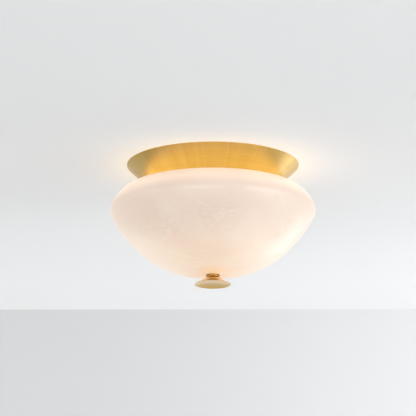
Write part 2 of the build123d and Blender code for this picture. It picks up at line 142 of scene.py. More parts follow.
def band(tree, value, start, end, low=0.0, high=1.0):
    """Value carried from start..end to low..high, smoothly and never past them."""
    node = add(tree, "ShaderNodeMapRange", {0: value, 1: start, 2: end, 3: low, 4: high},
               interpolation_type="SMOOTHSTEP")
    return node.outputs[0]


def mixed(tree, share, first, second, mode="MIX"):
    node = add(tree, "ShaderNodeMix", data_type="RGBA", blend_type=mode)
    feed(tree, node.inputs[0], share)
    feed(tree, node.inputs[6], first)
    feed(tree, node.inputs[7], second)
    return node.outputs[2]


def split(tree, vector):
    """The X, Y and Z of a vector."""
    return add(tree, "ShaderNodeSeparateXYZ", {0: vector}).outputs


def vector_of(tree, x=0.0, y=0.0, z=0.0):
    """A vector from its X, Y and Z."""
    return add(tree, "ShaderNodeCombineXYZ", {0: x, 1: y, 2: z}).outputs[0]


def vector_calc(tree, operation, *values, result="Vector"):
    node = add(tree, "ShaderNodeVectorMath", operation=operation)
    for socket, value in zip(node.inputs, values):
        feed(tree, socket, value)
    return node.outputs[result]


def stretched(tree, vector, scale):
    return add(tree, "ShaderNodeMapping", {"Vector": vector, "Scale": scale}).outputs[0]


def noise(tree, vector, scale, detail=2.0, rough=0.5, warp=0.0):
    node = add(tree, "ShaderNodeTexNoise", {"Vector": vector, "Scale": scale, "Detail": detail,
                                            "Roughness": rough, "Distortion": warp})
    return node.outputs[0]


SOCKET_KINDS = {
    "vector": "NodeSocketVector",
    "colour": "NodeSocketColor",
    "number": "NodeSocketFloat",
    "count": "NodeSocketInt",
    "material": "NodeSocketMaterial",
    "geometry": "NodeSocketGeometry",
}


def add_sockets(tree, direction, sockets):
    for name, kind in sockets.items():
        tree.interface.new_socket(name, in_out=direction, socket_type=SOCKET_KINDS[kind])


def start_group(name, inputs, outputs):
    """A shader node group, with the sockets that it takes in and gives out."""
    tree = bpy.data.node_groups.new(name, "ShaderNodeTree")
    add_sockets(tree, "INPUT", inputs)
    add_sockets(tree, "OUTPUT", outputs)
    return tree, tree.nodes.new("NodeGroupInput").outputs, tree.nodes.new("NodeGroupOutput").inputs


def use(tree, group, inputs):
    node = add(tree, "ShaderNodeGroup", node_tree=group)
    for name, value in inputs.items():
        feed(tree, node.inputs[name], value)
    return node.outputs


# Effects that several finishes share

def make_around_axis():
    """Where a point lies round the Z axis: its radius, its share of a turn and its height."""
    tree, given, result = start_group("around_axis", {"Vector": "vector"},
                                      {"Radius": "number", "Turn": "number", "Height": "number"})
    x, y, z = split(tree, given["Vector"])
    squares = calc(tree, "MULTIPLY_ADD", x, x, calc(tree, "MULTIPLY", y, y))
    angle = calc(tree, "ARCTAN2", y, x)
    feed(tree, result["Radius"], calc(tree, "SQRT", squares))
    feed(tree, result["Turn"], calc(tree, "MULTIPLY_ADD", angle, 1 / math.tau, 0.5))
    feed(tree, result["Height"], z)
    return tree


def make_handling():
    """Faint smudges and settled dust, as two masks."""
    tree, given, result = start_group("handling", {"Vector": "vector", "Scale": "number"},
                                      {"Smudge": "number", "Dust": "number"})
    cloud = noise(tree, given["Vector"], given["Scale"], detail=4.0, rough=0.6, warp=0.4)
    fine = noise(tree, given["Vector"], calc(tree, "MULTIPLY", given["Scale"], 14.0), rough=0.7)
    dust = calc(tree, "MULTIPLY", band(tree, fine, 0.62, 0.78), band(tree, cloud, 0.30, 0.60))
    feed(tree, result["Smudge"], band(tree, cloud, 0.45, 0.72))
    feed(tree, result["Dust"], dust)
    return tree


def make_spun_finish():
    """Metal turned on a lathe: fine rings round Z, satin streaks down the wall, softened by handling."""
    tree, given, result = start_group(
        "spun_finish",
        {"Vector": "vector", "Metal": "colour", "Shade": "colour", "Roughness": "number",
         "Rings": "number", "Streaks": "number"},
        {"Colour": "colour", "Roughness": "number", "Height": "number"})
    place = use(tree, around_axis, {"Vector": given["Vector"]})
    along = calc(tree, "MULTIPLY_ADD", place["Height"], -1.3, place["Radius"])
    ring_place = vector_of(tree, along, calc(tree, "MULTIPLY", place["Turn"], 0.004))
    rings = noise(tree, ring_place, given["Rings"], detail=3.0, rough=0.7)
    broad = noise(tree, ring_place, calc(tree, "MULTIPLY", given["Rings"], 0.09), detail=1.0)
    marks = use(tree, handling, {"Vector": given["Vector"], "Scale": 9.0})
    heading = vector_calc(tree, "NORMALIZE", stretched(tree, given["Vector"], (1.0, 1.0, 0.0)))
    fine_streaks = noise(tree, heading, 60.0, detail=3.0, rough=0.7)
    streaks = calc(tree, "MULTIPLY_ADD", fine_streaks, 0.6, noise(tree, heading, 7.0))
    streaks = calc(tree, "MULTIPLY", calc(tree, "SUBTRACT", streaks, 0.8), given["Streaks"])
    tone = calc(tree, "MULTIPLY", calc(tree, "ADD", band(tree, rings, 0.25, 0.75), broad), 0.30)
    tone = calc(tree, "MULTIPLY_ADD", marks["Smudge"], 0.20, tone)
    tone = calc(tree, "ADD", tone, streaks, clamp=True)
    feed(tree, result["Colour"], mixed(tree, tone, given["Metal"], given["Shade"]))
    rough = calc(tree, "MULTIPLY_ADD", rings, 0.10, given["Roughness"])
    rough = calc(tree, "MULTIPLY_ADD", streaks, 0.05, rough)
    rough = calc(tree, "MULTIPLY_ADD", marks["Smudge"], 0.05, rough)
    feed(tree, result["Roughness"], calc(tree, "MULTIPLY_ADD", marks["Dust"], 0.12, rough, clamp=True))
    feed(tree, result["Height"], rings)
    return tree


def make_plated_finish():
    """Zinc, nickel or dyed plating: cloudy crystals, faint drawing lines and dull handling marks."""
    tree, given, result = start_group(
        "plated_finish",
        {"Vector": "vector", "Metal": "colour", "Dull": "colour", "Roughness": "number", "Grain": "number"},
        {"Colour": "colour", "Roughness": "number", "Height": "number"})
    crystals = add(tree, "ShaderNodeTexVoronoi", {"Vector": given["Vector"], "Scale": given["Grain"]})
    cloud = noise(tree, given["Vector"], calc(tree, "MULTIPLY", given["Grain"], 0.25), detail=4.0, rough=0.6)
    lines = noise(tree, stretched(tree, given["Vector"], (60.0, 1400.0, 1400.0)), 1.0, rough=0.6)
    marks = use(tree, handling, {"Vector": given["Vector"], "Scale": 40.0})
    tone = calc(tree, "MULTIPLY", calc(tree, "ADD", crystals.outputs["Distance"], cloud), 0.45)
    tone = calc(tree, "MULTIPLY_ADD", marks["Smudge"], 0.30, tone, clamp=True)
    feed(tree, result["Colour"], mixed(tree, tone, given["Metal"], given["Dull"]))
    rough = calc(tree, "MULTIPLY_ADD", cloud, 0.18, given["Roughness"])
    feed(tree, result["Roughness"], calc(tree, "MULTIPLY_ADD", marks["Dust"], 0.20, rough, clamp=True))
    feed(tree, result["Height"], lines)
    return tree


def make_moulded_finish():
    """Moulded plastic, rubber or wire covering: a fine skin, slightly uneven in tone."""
    tree, given, result = start_group(
        "moulded_finish",
        {"Vector": "vector", "Colour": "colour", "Worn": "colour", "Roughness": "number", "Skin": "number"},
        {"Colour": "colour", "Roughness": "number", "Height": "number"})
    skin = noise(tree, given["Vector"], given["Skin"], detail=3.0, rough=0.65)
    marks = use(tree, handling, {"Vector": given["Vector"], "Scale": 55.0})
    smudge = calc(tree, "MULTIPLY", marks["Smudge"], 0.35)
    tone = calc(tree, "MULTIPLY_ADD", marks["Dust"], 0.6, smudge, clamp=True)
    feed(tree, result["Colour"], mixed(tree, tone, given["Colour"], given["Worn"]))
    feed(tree, result["Roughness"], calc(tree, "MULTIPLY_ADD", skin, 0.20, given["Roughness"], clamp=True))
    feed(tree, result["Height"], skin)
    return tree


def make_glazed_finish():
    """Glazed porcelain or black glass: a smooth coat over a faintly speckled body."""
    tree, given, result = start_group(
        "glazed_finish",
        {"Vector": "vector", "Glaze": "colour", "Speck": "colour", "Roughness": "number"},
        {"Colour": "colour", "Roughness": "number", "Height": "number"})
    specks = noise(tree, given["Vector"], 900.0, detail=1.0)
    waves = noise(tree, given["Vector"], 70.0, detail=1.0, rough=0.4)
    pooled = noise(tree, given["Vector"], 35.0, detail=3.0)
    pools = calc(tree, "MULTIPLY", band(tree, pooled, 0.40, 0.75), 0.25)
    tone = calc(tree, "MULTIPLY_ADD", band(tree, specks, 0.70, 0.80), 0.5, pools, clamp=True)
    feed(tree, result["Colour"], mixed(tree, tone, given["Glaze"], given["Speck"]))
    feed(tree, result["Roughness"], calc(tree, "MULTIPLY_ADD", waves, 0.10, given["Roughness"]))
    feed(tree, result["Height"], waves)
    return tree


def make_stone_figure():
    """Alabaster: milky clouds, a few soft veins, and lying threads of fine crackle in patches."""
    tree, given, result = start_group(
        "stone_figure", {"Vector": "vector"},
        {"Cloud": "number", "Vein": "number", "Crackle": "number", "Height": "number"})
    drift = noise(tree, given["Vector"], 6.0)
    push = vector_calc(tree, "MULTIPLY", vector_of(tree, drift, drift, drift), (0.06, 0.06, 0.024))
    body = vector_calc(tree, "ADD", given["Vector"], push)
    cloud = noise(tree, stretched(tree, body, (1.0, 1.0, 1.9)), 10.0, detail=4.0, rough=0.55, warp=0.4)
    path = noise(tree, stretched(tree, body, (1.0, 1.0, 2.2)), 9.0, detail=3.0, warp=0.5)
    off_path = calc(tree, "ABSOLUTE", calc(tree, "SUBTRACT", path, 0.5))
    vein = band(tree, off_path, 0.0, 0.10, low=1.0, high=0.0)
    vein = calc(tree, "MULTIPLY", vein, band(tree, drift, 0.45, 0.65))
    thread = noise(tree, stretched(tree, body, (1.0, 1.0, 6.0)), 105.0, rough=0.6, warp=0.2)
    crackle = band(tree, thread, 0.40, 0.56)
    patch = band(tree, noise(tree, given["Vector"], 8.0, detail=1.0), 0.42, 0.58)
    height = split(tree, given["Vector"])[2]
    patch = calc(tree, "MULTIPLY", patch, band(tree, height, -0.085, -0.130, low=0.35, high=1.0))
    feed(tree, result["Cloud"], band(tree, cloud, 0.28, 0.72))
    feed(tree, result["Vein"], vein)
    feed(tree, result["Crackle"], calc(tree, "MULTIPLY", crackle, patch))
    feed(tree, result["Height"], noise(tree, stretched(tree, body, (1.0, 1.0, 2.0)), 48.0))
    return tree


def make_lamp_light():
    """How bright the glow painted on the stone is at a point, from the two places where it is brightest."""
    tree, given, result = start_group("lamp_light", {"Vector": "vector", "Spread": "number"},
                                      {"Light": "number"})
    total = 0.0
    for point in LAMP_GLOW_POINTS:
        away = vector_calc(tree, "DISTANCE", given["Vector"], point, result="Value")
        share = calc(tree, "DIVIDE", away, given["Spread"])
        fading = calc(tree, "MULTIPLY", calc(tree, "MULTIPLY", share, share), -1.0)
        total = calc(tree, "ADD", total, calc(tree, "EXPONENT", fading))
    feed(tree, result["Light"], total)
    return tree


def make_rolled_thread():
    """The height of a screw thread round the lamps' axis, for walls that are too thin to cut."""
    tree, given, result = start_group("rolled_thread", {"Vector": "vector", "Pitch": "number"},
                                      {"Height": "number"})
    x, y, z = split(tree, given["Vector"])
    angle = calc(tree, "ARCTAN2", calc(tree, "SUBTRACT", z, LAMP_AXIS), y)
    turns_along = calc(tree, "DIVIDE", calc(tree, "ABSOLUTE", x), given["Pitch"])
    phase = calc(tree, "SUBTRACT", calc(tree, "MULTIPLY", turns_along, math.tau), angle)
    feed(tree, result["Height"], calc(tree, "COSINE", phase))
    return tree


around_axis = make_around_axis()
handling = make_handling()
spun_finish = make_spun_finish()
plated_finish = make_plated_finish()
moulded_finish = make_moulded_finish()
glazed_finish = make_glazed_finish()
stone_figure = make_stone_figure()
lamp_light = make_lamp_light()
rolled_thread = make_rolled_thread()


# Finishes

def start_finish(name, **settings):
    """A material with its shader, and the place on the piece that its patterns follow."""
    material = bpy.data.materials.new(name)
    material.use_nodes = True
    tree = material.node_tree
    shader = tree.nodes["Principled BSDF"]
    for socket, value in settings.items():
        shader.inputs[socket.replace("_", " ")].default_value = value
    return material, tree, shader, add(tree, "ShaderNodeTexCoord").outputs["Object"]


def relief(tree, shader, height, depth, strength):
    bump = add(tree, "ShaderNodeBump", {"Height": height, "Distance": depth, "Strength": strength})
    feed(tree, shader.inputs["Normal"], bump.outputs[0])


def finish_with(name, group, values, depth, strength, **settings):
    material, tree, shader, place = start_finish(name, **settings)
    look = use(tree, group, {"Vector": place, **values})
    feed(tree, shader.inputs["Base Color"], look["Colour"])
    feed(tree, shader.inputs["Roughness"], look["Roughness"])
    relief(tree, shader, look["Height"], depth, strength)
    return material


def spun(name, metal, shade, roughness, rings, streaks, lacquer):
    values = {"Metal": metal, "Shade": shade, "Roughness": roughness, "Rings": rings, "Streaks": streaks}
    return finish_with(name, spun_finish, values, depth=0.00004, strength=0.35, Metallic=1.0,
                       Coat_Weight=lacquer, Coat_Roughness=0.12)


def plated(name, metal, dull, roughness, grain):
    values = {"Metal": metal, "Dull": dull, "Roughness": roughness, "Grain": grain}
    return finish_with(name, plated_finish, values, depth=0.00003, strength=0.4, Metallic=1.0)


def moulded(name, colour, worn, roughness, skin):
    values = {"Colour": colour, "Worn": worn, "Roughness": roughness, "Skin": skin}
    return finish_with(name, moulded_finish, values, depth=0.00005, strength=0.5)


def glazed(name, glaze, speck, roughness):
    values = {"Glaze": glaze, "Speck": speck, "Roughness": roughness}
    return finish_with(name, glazed_finish, values, depth=0.0002, strength=0.2,
                       Coat_Weight=0.6, Coat_Roughness=0.06)


def make_alabaster():
    """Honed stone with the lamps' glow through it painted into its emission colour: brighter near the lamps,
    in a band by the rim, low down and on its inner face, and yellower on its inner face.
    """
    material, tree, shader, place = start_finish("alabaster", Coat_Weight=0.25, Coat_Roughness=0.22)
    outward = vector_calc(tree, "SUBTRACT", place, BOWL_MIDDLE)
    normal = add(tree, "ShaderNodeTexCoord").outputs["Normal"]
    facing = vector_calc(tree, "DOT_PRODUCT", normal, outward, result="Value")
    inside = band(tree, facing, 0.0, -0.02)
    stone = use(tree, stone_figure, {"Vector": place})
    light = use(tree, lamp_light, {"Vector": place, "Spread": LAMP_GLOW_SPREAD})["Light"]
    height = split(tree, place)[2]
    low = band(tree, height, -0.125, -0.200)
    rim = band(tree, height, -0.082, -0.060)
    colour = mixed(tree, stone["Cloud"], tint(208, 196, 185), tint(214, 204, 194))
    colour = mixed(tree, calc(tree, "MULTIPLY", stone["Vein"], 0.06), colour, tint(200, 186, 176))
    colour = mixed(tree, calc(tree, "MULTIPLY", stone["Crackle"], 0.40), colour, tint(196, 181, 166))
    feed(tree, shader.inputs["Base Color"], colour)
    # Painted glow: the lamps' light through the stone, given as emission colour, more orange low down, paler
    # near the lamps and yellower on the inner face
    warm = mixed(tree, low, tint(252, 217, 191), tint(255, 208, 160))
    painted_glow_colour = mixed(tree, light, warm, tint(255, 232, 208))
    painted_glow_colour = mixed(tree, inside, painted_glow_colour, tint(255, 244, 196))
    # Brightness of the painted glow: more near the lamps, in a band by the rim, low down and on the inner
    # face, a little uneven with the stone's figure
    painted_glow_level = calc(tree, "MULTIPLY_ADD", light, 0.20, 0.355)
    painted_glow_level = calc(tree, "MULTIPLY_ADD", rim, 0.20, painted_glow_level)
    painted_glow_level = calc(tree, "MULTIPLY_ADD", low, 0.08, painted_glow_level)
    painted_glow_level = calc(tree, "MULTIPLY_ADD", inside, 0.10, painted_glow_level)
    painted_glow_level = calc(tree, "MULTIPLY_ADD", stone["Cloud"], 0.02, painted_glow_level)
    painted_glow_level = calc(tree, "MULTIPLY_ADD", stone["Crackle"], -0.028, painted_glow_level)
    grey = add(tree, "ShaderNodeCombineColor", {0: painted_glow_level, 1: painted_glow_level, 2: painted_glow_level}).outputs[0]
    feed(tree, shader.inputs["Emission Color"], mixed(tree, 1.0, painted_glow_colour, grey, "MULTIPLY"))
    shader.inputs["Emission Strength"].default_value = 1.0
    feed(tree, shader.inputs["Roughness"], calc(tree, "MULTIPLY_ADD", stone["Height"], 0.12, 0.26))
    relief(tree, shader, stone["Height"], depth=0.0001, strength=0.2)
    return material


def make_frosted_bulb():
    """A lit bulb: etched glass, brightest at its middle, where the filaments stand."""
    material, tree, shader, place = start_finish("bulb_glass", Coat_Weight=0.3, Coat_Roughness=0.25)
    etch = noise(tree, place, 420.0, rough=0.6)
    cloud = noise(tree, place, 60.0)
    reach = calc(tree, "ABSOLUTE", split(tree, place)[0])
    middle = calc(tree, "MULTIPLY", band(tree, reach, 0.068, 0.096), band(tree, reach, 0.140, 0.120))
    warm = mixed(tree, middle, tint(255, 236, 186), tint(255, 244, 212))
    feed(tree, shader.inputs["Base Color"], mixed(tree, cloud, tint(238, 234, 226), tint(250, 246, 238)))
    glow = mixed(tree, calc(tree, "MULTIPLY", cloud, 0.12), warm, tint(255, 244, 226))
    feed(tree, shader.inputs["Emission Color"], glow)
    shader.inputs["Emission Strength"].default_value = 0.95
    feed(tree, shader.inputs["Roughness"], calc(tree, "MULTIPLY_ADD", etch, 0.20, 0.40))
    relief(tree, shader, etch, depth=0.00002, strength=0.3)
    return material


def make_clear_stem():
    """Clear glass inside the bulb, with a few seeds in it."""
    material, tree, shader, place = start_finish("stem_glass", Transmission_Weight=1.0, IOR=1.47)
    seeds = noise(tree, place, 240.0, detail=1.0)
    feed(tree, shader.inputs["Base Color"], mixed(tree, seeds, tint(232, 240, 236), tint(250, 252, 250)))
    feed(tree, shader.inputs["Roughness"], calc(tree, "MULTIPLY", seeds, 0.12))
    return material


def make_filament():
    """Light-giving sticks: a yellow coating in fine grains."""
    material, tree, shader, place = start_finish("filament")
    grain = noise(tree, place, 1500.0, rough=0.7)
    colour = mixed(tree, band(tree, grain, 0.35, 0.65), tint(232, 186, 78), tint(250, 214, 120))
    feed(tree, shader.inputs["Base Color"], colour)
    feed(tree, shader.inputs["Emission Color"], colour)
    shader.inputs["Emission Strength"].default_value = 1.5
    feed(tree, shader.inputs["Roughness"], calc(tree, "MULTIPLY_ADD", grain, 0.3, 0.45))
    relief(tree, shader, grain, depth=0.00003, strength=0.5)
    return material


def rolled(name, metal, dull, roughness):
    """Plated metal with a lamp's thread rolled into its thin wall."""
    material, tree, shader, place = start_finish(name, Metallic=1.0)
    look = use(tree, plated_finish, {"Vector": place, "Metal": metal, "Dull": dull, "Roughness": roughness,
                                     "Grain": 300.0})
    thread = use(tree, rolled_thread, {"Vector": place, "Pitch": LAMP_THREAD_PITCH})
    feed(tree, shader.inputs["Base Color"], look["Colour"])
    feed(tree, shader.inputs["Roughness"], look["Roughness"])
    relief(tree, shader, thread["Height"], depth=0.0004, strength=0.8)
    return material


finishes = {
    "canopy_brass": spun("canopy_brass", tint(229, 196, 122), tint(212, 172, 91), roughness=0.30,
                         rings=900.0, streaks=1.2, lacquer=0.0),
    "finial_brass": spun("finial_brass", tint(251, 204, 100), tint(235, 180, 76), roughness=0.15,
                         rings=1500.0, streaks=0.3, lacquer=0.8),
    "cap_nut_brass": spun("cap_nut_brass", tint(240, 196, 112), tint(214, 160, 80), roughness=0.26,
                          rings=2200.0, streaks=0.3, lacquer=0.4),
    "alabaster": make_alabaster(),
    "zinc_steel": plated("zinc_steel", tint(208, 212, 216), tint(150, 154, 160), roughness=0.30, grain=260.0),
    "rod_steel": plated("rod_steel", tint(214, 200, 146), tint(168, 148, 92), roughness=0.32, grain=340.0),
    "contact_brass": plated("contact_brass", tint(238, 206, 126), tint(190, 150, 72), roughness=0.24,
                            grain=420.0),
    "earth_green": plated("earth_green", tint(92, 158, 108), tint(52, 104, 66), roughness=0.34, grain=420.0),
    "shell_metal": rolled("shell_metal", tint(228, 212, 178), tint(176, 156, 116), roughness=0.24),
    "bulb_cap_metal": rolled("bulb_cap_metal", tint(222, 222, 222), tint(168, 170, 172), roughness=0.26),
    "porcelain": glazed("porcelain", tint(240, 238, 230), tint(206, 200, 186), roughness=0.12),
    "bulb_insulator": glazed("bulb_insulator", tint(26, 26, 28), tint(52, 50, 50), roughness=0.10),
    "bulb_glass": make_frosted_bulb(),
    "stem_glass": make_clear_stem(),
    "filament": make_filament(),
    "rubber_black": moulded("rubber_black", tint(34, 34, 34), tint(86, 84, 80), roughness=0.62, skin=1400.0),
    "block_plastic": moulded("block_plastic", tint(232, 228, 216), tint(200, 192, 172), roughness=0.38,
                             skin=700.0),
    "live_insulation": moulded("live_insulation", tint(28, 28, 30), tint(74, 74, 74), roughness=0.34,
                               skin=1100.0),
    "neutral_insulation": moulded("neutral_insulation", tint(236, 236, 230), tint(204, 200, 188),
                                  roughness=0.34, skin=1100.0),
    "earth_insulation": moulded("earth_insulation", tint(44, 132, 62), tint(96, 150, 92), roughness=0.34,
                                skin=1100.0),
}

# Each node that shows as it is in the frame wears the finish of its own slot
slot_of = {item["node"]: item["material_slot"] for item in frame["record"]["subparts"]}
for name, solid in nodes.items():
    solid.data.materials.clear()
    solid.data.materials.append(finishes[slot_of[name]])


# Geometry Nodes trees for what repeats

def start_pattern(name, inputs):
    """A Geometry Nodes tree, with named inputs and one mesh out."""
    tree = bpy.data.node_groups.new(name, "GeometryNodeTree")
    add_sockets(tree, "INPUT", {**inputs, "Material": "material"})
    add_sockets(tree, "OUTPUT", {"Geometry": "geometry"})
    return tree, tree.nodes.new("NodeGroupInput").outputs, tree.nodes.new("NodeGroupOutput").inputs


def end_pattern(tree, given, result, mesh):
    real = add(tree, "GeometryNodeRealizeInstances", {"Geometry": mesh})
    coated = add(tree, "GeometryNodeSetMaterial", {
        "Geometry": real.outputs[0], "Material": given["Material"]})
    feed(tree, result["Geometry"], coated.outputs[0])
    return tree


def choose(tree, test, when_false, when_true):
    node = add(tree, "GeometryNodeSwitch", {"Switch": test, "False": when_false, "True": when_true},
               input_type="FLOAT")
    return node.outputs[0]


def moved(tree, geometry, place):
    return add(tree, "GeometryNodeTransform", {"Geometry": geometry, "Translation": place}).outputs[0]


def turned_by(tree, lean, angle):
    """A turn by lean about X, and then by an angle about Z."""
    return add(tree, "FunctionNodeEulerToRotation", {0: vector_of(tree, lean, 0.0, angle)}).outputs[0]


def position_parts(tree):
    """The X, Y and Z of each vertex."""
    return split(tree, add(tree, "GeometryNodeInputPosition").outputs[0])


def make_threaded_wall():
    """A round wall about Z with a screw thread outside. A bore radius of 0 makes it a solid bar.

    It is a grid bent round: its rows climb the thread and come back down the plain bore, and the last row
    lies on the first, so the wall closes.
    """
    tree, given, result = start_pattern("threaded_wall", {
        "Start": "number", "Length": "number", "Radius": "number", "Depth": "number", "Bore": "number",
        "Pitch": "number", "Rows": "count", "Segments": "count"})
    rows = calc(tree, "ADD", given["Rows"], BORE_ROWS)
    grid = add(tree, "GeometryNodeMeshGrid", {
        "Size X": rows, "Size Y": 1.0, "Vertices X": calc(tree, "ADD", rows, 1.0),
        "Vertices Y": calc(tree, "ADD", given["Segments"], 1.0)})
    x, y = position_parts(tree)[:2]
    row = calc(tree, "ROUND", calc(tree, "MULTIPLY_ADD", rows, 0.5, x))
    is_before_last = calc(tree, "LESS_THAN", row, calc(tree, "SUBTRACT", rows, 0.5))
    row = calc(tree, "MULTIPLY", row, is_before_last)
    turn = calc(tree, "ADD", y, 0.5)
    in_bore = calc(tree, "GREATER_THAN", row, calc(tree, "SUBTRACT", given["Rows"], 0.5))
    outer_share = calc(tree, "DIVIDE", row, calc(tree, "SUBTRACT", given["Rows"], 1.0))
    bore_share = calc(tree, "DIVIDE", calc(tree, "SUBTRACT", calc(tree, "SUBTRACT", rows, 1.0), row),
                      BORE_ROWS - 1)
    along = calc(tree, "MULTIPLY", choose(tree, in_bore, outer_share, bore_share), given["Length"])
    phase = calc(tree, "SUBTRACT", calc(tree, "DIVIDE", along, given["Pitch"]), turn)
    wave = calc(tree, "COSINE", calc(tree, "MULTIPLY", phase, math.tau))
    wave = calc(tree, "MULTIPLY_ADD", wave, 0.5, 0.5)
    to_end = calc(tree, "MINIMUM", along, calc(tree, "SUBTRACT", given["Length"], along))
    wave = calc(tree, "MULTIPLY", wave, calc(tree, "DIVIDE", to_end, given["Pitch"], clamp=True))
    sunk = calc(tree, "MULTIPLY", calc(tree, "SUBTRACT", 1.0, wave), given["Depth"])
    outer_radius = calc(tree, "SUBTRACT", given["Radius"], sunk)
    radius = choose(tree, in_bore, outer_radius, given["Bore"])
    angle = calc(tree, "MULTIPLY", turn, math.tau)
    point = vector_of(tree, calc(tree, "MULTIPLY", radius, calc(tree, "COSINE", angle)),
                      calc(tree, "MULTIPLY", radius, calc(tree, "SINE", angle)),
                      calc(tree, "ADD", given["Start"], along))
    bent = add(tree, "GeometryNodeSetPosition", {"Geometry": grid.outputs[0], "Position": point})
    closed = add(tree, "GeometryNodeMergeByDistance", {"Geometry": bent.outputs[0], "Distance": 1e-6})
    smooth = add(tree, "GeometryNodeSetShadeSmooth", {"Geometry": closed.outputs[0]})
    return end_pattern(tree, given, result, smooth.outputs[0])


def make_screw_row():
    """Domed screws in a row, heads up, with the underside of each head at its place on the row."""
    tree, given, result = start_pattern("screw_row", {
        "Head Radius": "number", "Head Height": "number", "Shank Radius": "number", "Shank Length": "number",
        "Slot Width": "number", "Slot Length": "number", "Cross Length": "number", "Slot Depth": "number",
        "Count": "count", "Start": "vector", "Step": "vector"})
    head = add(tree, "GeometryNodeMeshCylinder", {
        "Vertices": 40, "Side Segments": 6, "Radius": given["Head Radius"], "Depth": given["Head Height"]})
    x, y, z = position_parts(tree)
    height = calc(tree, "MULTIPLY_ADD", given["Head Height"], 0.5, z)
    share = calc(tree, "DIVIDE", height, given["Head Height"])
    drawn_in = calc(tree, "MULTIPLY", calc(tree, "POWER", share, 3.0), HEAD_DOME)
    width = calc(tree, "SUBTRACT", 1.0, drawn_in)
    domed = vector_of(tree, calc(tree, "MULTIPLY", x, width), calc(tree, "MULTIPLY", y, width), height)
    head = add(tree, "GeometryNodeSetPosition", {"Geometry": head.outputs[0], "Position": domed})
    overlap = calc(tree, "MULTIPLY", given["Head Height"], SHANK_OVERLAP)
    shank_length = calc(tree, "ADD", given["Shank Length"], overlap)
    shank = add(tree, "GeometryNodeMeshCylinder", {
        "Vertices": 24, "Radius": given["Shank Radius"], "Depth": shank_length})
    shank_middle = calc(tree, "MULTIPLY_ADD", shank_length, -0.5, overlap)
    shank = moved(tree, shank.outputs[0], vector_of(tree, z=shank_middle))
    cut_height = calc(tree, "MULTIPLY", given["Slot Depth"], 2.0)
    whole = add(tree, "GeometryNodeMeshBoolean", operation="UNION", solver="EXACT")
    for piece in (head.outputs[0], shank):
        tree.links.new(piece, whole.inputs["Mesh 2"])
    cut = add(tree, "GeometryNodeMeshBoolean", {"Mesh 1": whole.outputs[0]}, operation="DIFFERENCE",
              solver="EXACT")
    for length, width in (("Slot Length", "Slot Width"), ("Slot Width", "Cross Length")):
        size = vector_of(tree, given[length], given[width], cut_height)
        cube = add(tree, "GeometryNodeMeshCube", {"Size": size})
        slot = moved(tree, cube.outputs[0], vector_of(tree, z=given["Head Height"]))
        tree.links.new(slot, cut.inputs["Mesh 2"])
    row = add(tree, "GeometryNodeMeshLine", {
        "Count": given["Count"], "Start Location": given["Start"], "Offset": given["Step"]}, mode="OFFSET")
    angle = add(tree, "FunctionNodeRandomValue", {2: 0.0, 3: math.tau, "Seed": 7}, data_type="FLOAT")
    placed = add(tree, "GeometryNodeInstanceOnPoints", {
        "Points": row.outputs[0], "Instance": cut.outputs[0],
        "Rotation": turned_by(tree, 0.0, angle.outputs[1])})
    return end_pattern(tree, given, result, placed.outputs[0])


def make_toothed_ring():
    """Small teeth round a circle about Z, each turned about the circle's own radius by Lean."""
    tree, given, result = start_pattern("toothed_ring", {
        "Radius": "number", "Middle": "number", "Count": "count", "Tooth": "vector", "Lean": "number"})
    ring = add(tree, "GeometryNodeMeshCircle", {"Vertices": given["Count"], "Radius": given["Radius"]})
    lifted = moved(tree, ring.outputs[0], vector_of(tree, z=given["Middle"]))
    tooth = add(tree, "GeometryNodeMeshCube", {"Size": given["Tooth"]})
    index = add(tree, "GeometryNodeInputIndex").outputs[0]
    angle = calc(tree, "MULTIPLY", calc(tree, "DIVIDE", index, given["Count"]), math.tau)
    placed = add(tree, "GeometryNodeInstanceOnPoints", {
        "Points": lifted, "Instance": tooth.outputs[0],
        "Rotation": turned_by(tree, given["Lean"], angle)})
    return end_pattern(tree, given, result, placed.outputs[0])


threaded_wall = make_threaded_wall()
screw_row = make_screw_row()
toothed_ring = make_toothed_ring()


def pattern_mesh(pattern, values, finish, place=Matrix.Identity(4)):
    """The plain mesh that a tree makes with the values given, moved to its place."""
    carrier = bpy.data.objects.new("carrier", bpy.data.meshes.new("carrier"))
    bpy.context.scene.collection.objects.link(carrier)
    modifier = carrier.modifiers.new("pattern", "NODES")
    modifier.node_group = pattern
    for item in pattern.interface.items_tree:
        if item.in_out == "INPUT":
            value = finishes[finish] if item.name == "Material" else values[item.name]
            modifier[item.identifier] = value
    evaluated = carrier.evaluated_get(bpy.context.evaluated_depsgraph_get())
    mesh = bpy.data.meshes.new_from_object(evaluated)
    bpy.data.objects.remove(carrier)
    mesh.transform(place)
    return mesh


def joined_piece(name, meshes, body, slot, *replaced):
    """One object from several meshes, cleaned, in one finish, on its body and for its CAD nodes."""
    whole = bmesh.new()
    for mesh in meshes:
        whole.from_mesh(mesh)
    loose = [edge for edge in whole.edges if not edge.link_faces]
    bmesh.ops.delete(whole, geom=loose, context="EDGES")
    loose = [vertex for vertex in whole.verts if not vertex.link_faces]
    bmesh.ops.delete(whole, geom=loose, context="VERTS")
    bmesh.ops.recalc_face_normals(whole, faces=whole.faces)
    for face in whole.faces:
        face.material_index = 0
    mesh = bpy.data.meshes.new(name)
    whole.to_mesh(mesh)
    whole.free()
    mesh.materials.append(finishes[slot])
    piece = bpy.data.objects.new(name, mesh)
    bpy.context.scene.collection.objects.link(piece)
    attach(piece, body)
    if replaced:
        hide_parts(*replaced)
    return piece


def along_lamp(side):
    """Lays what is made about Z along the lamps' axis, on the side given by -1 or +1."""
    return Matrix.Translation((0, 0, LAMP_AXIS)) @ Matrix.Rotation(side * math.pi / 2, 4, "Y")


# Screw threads

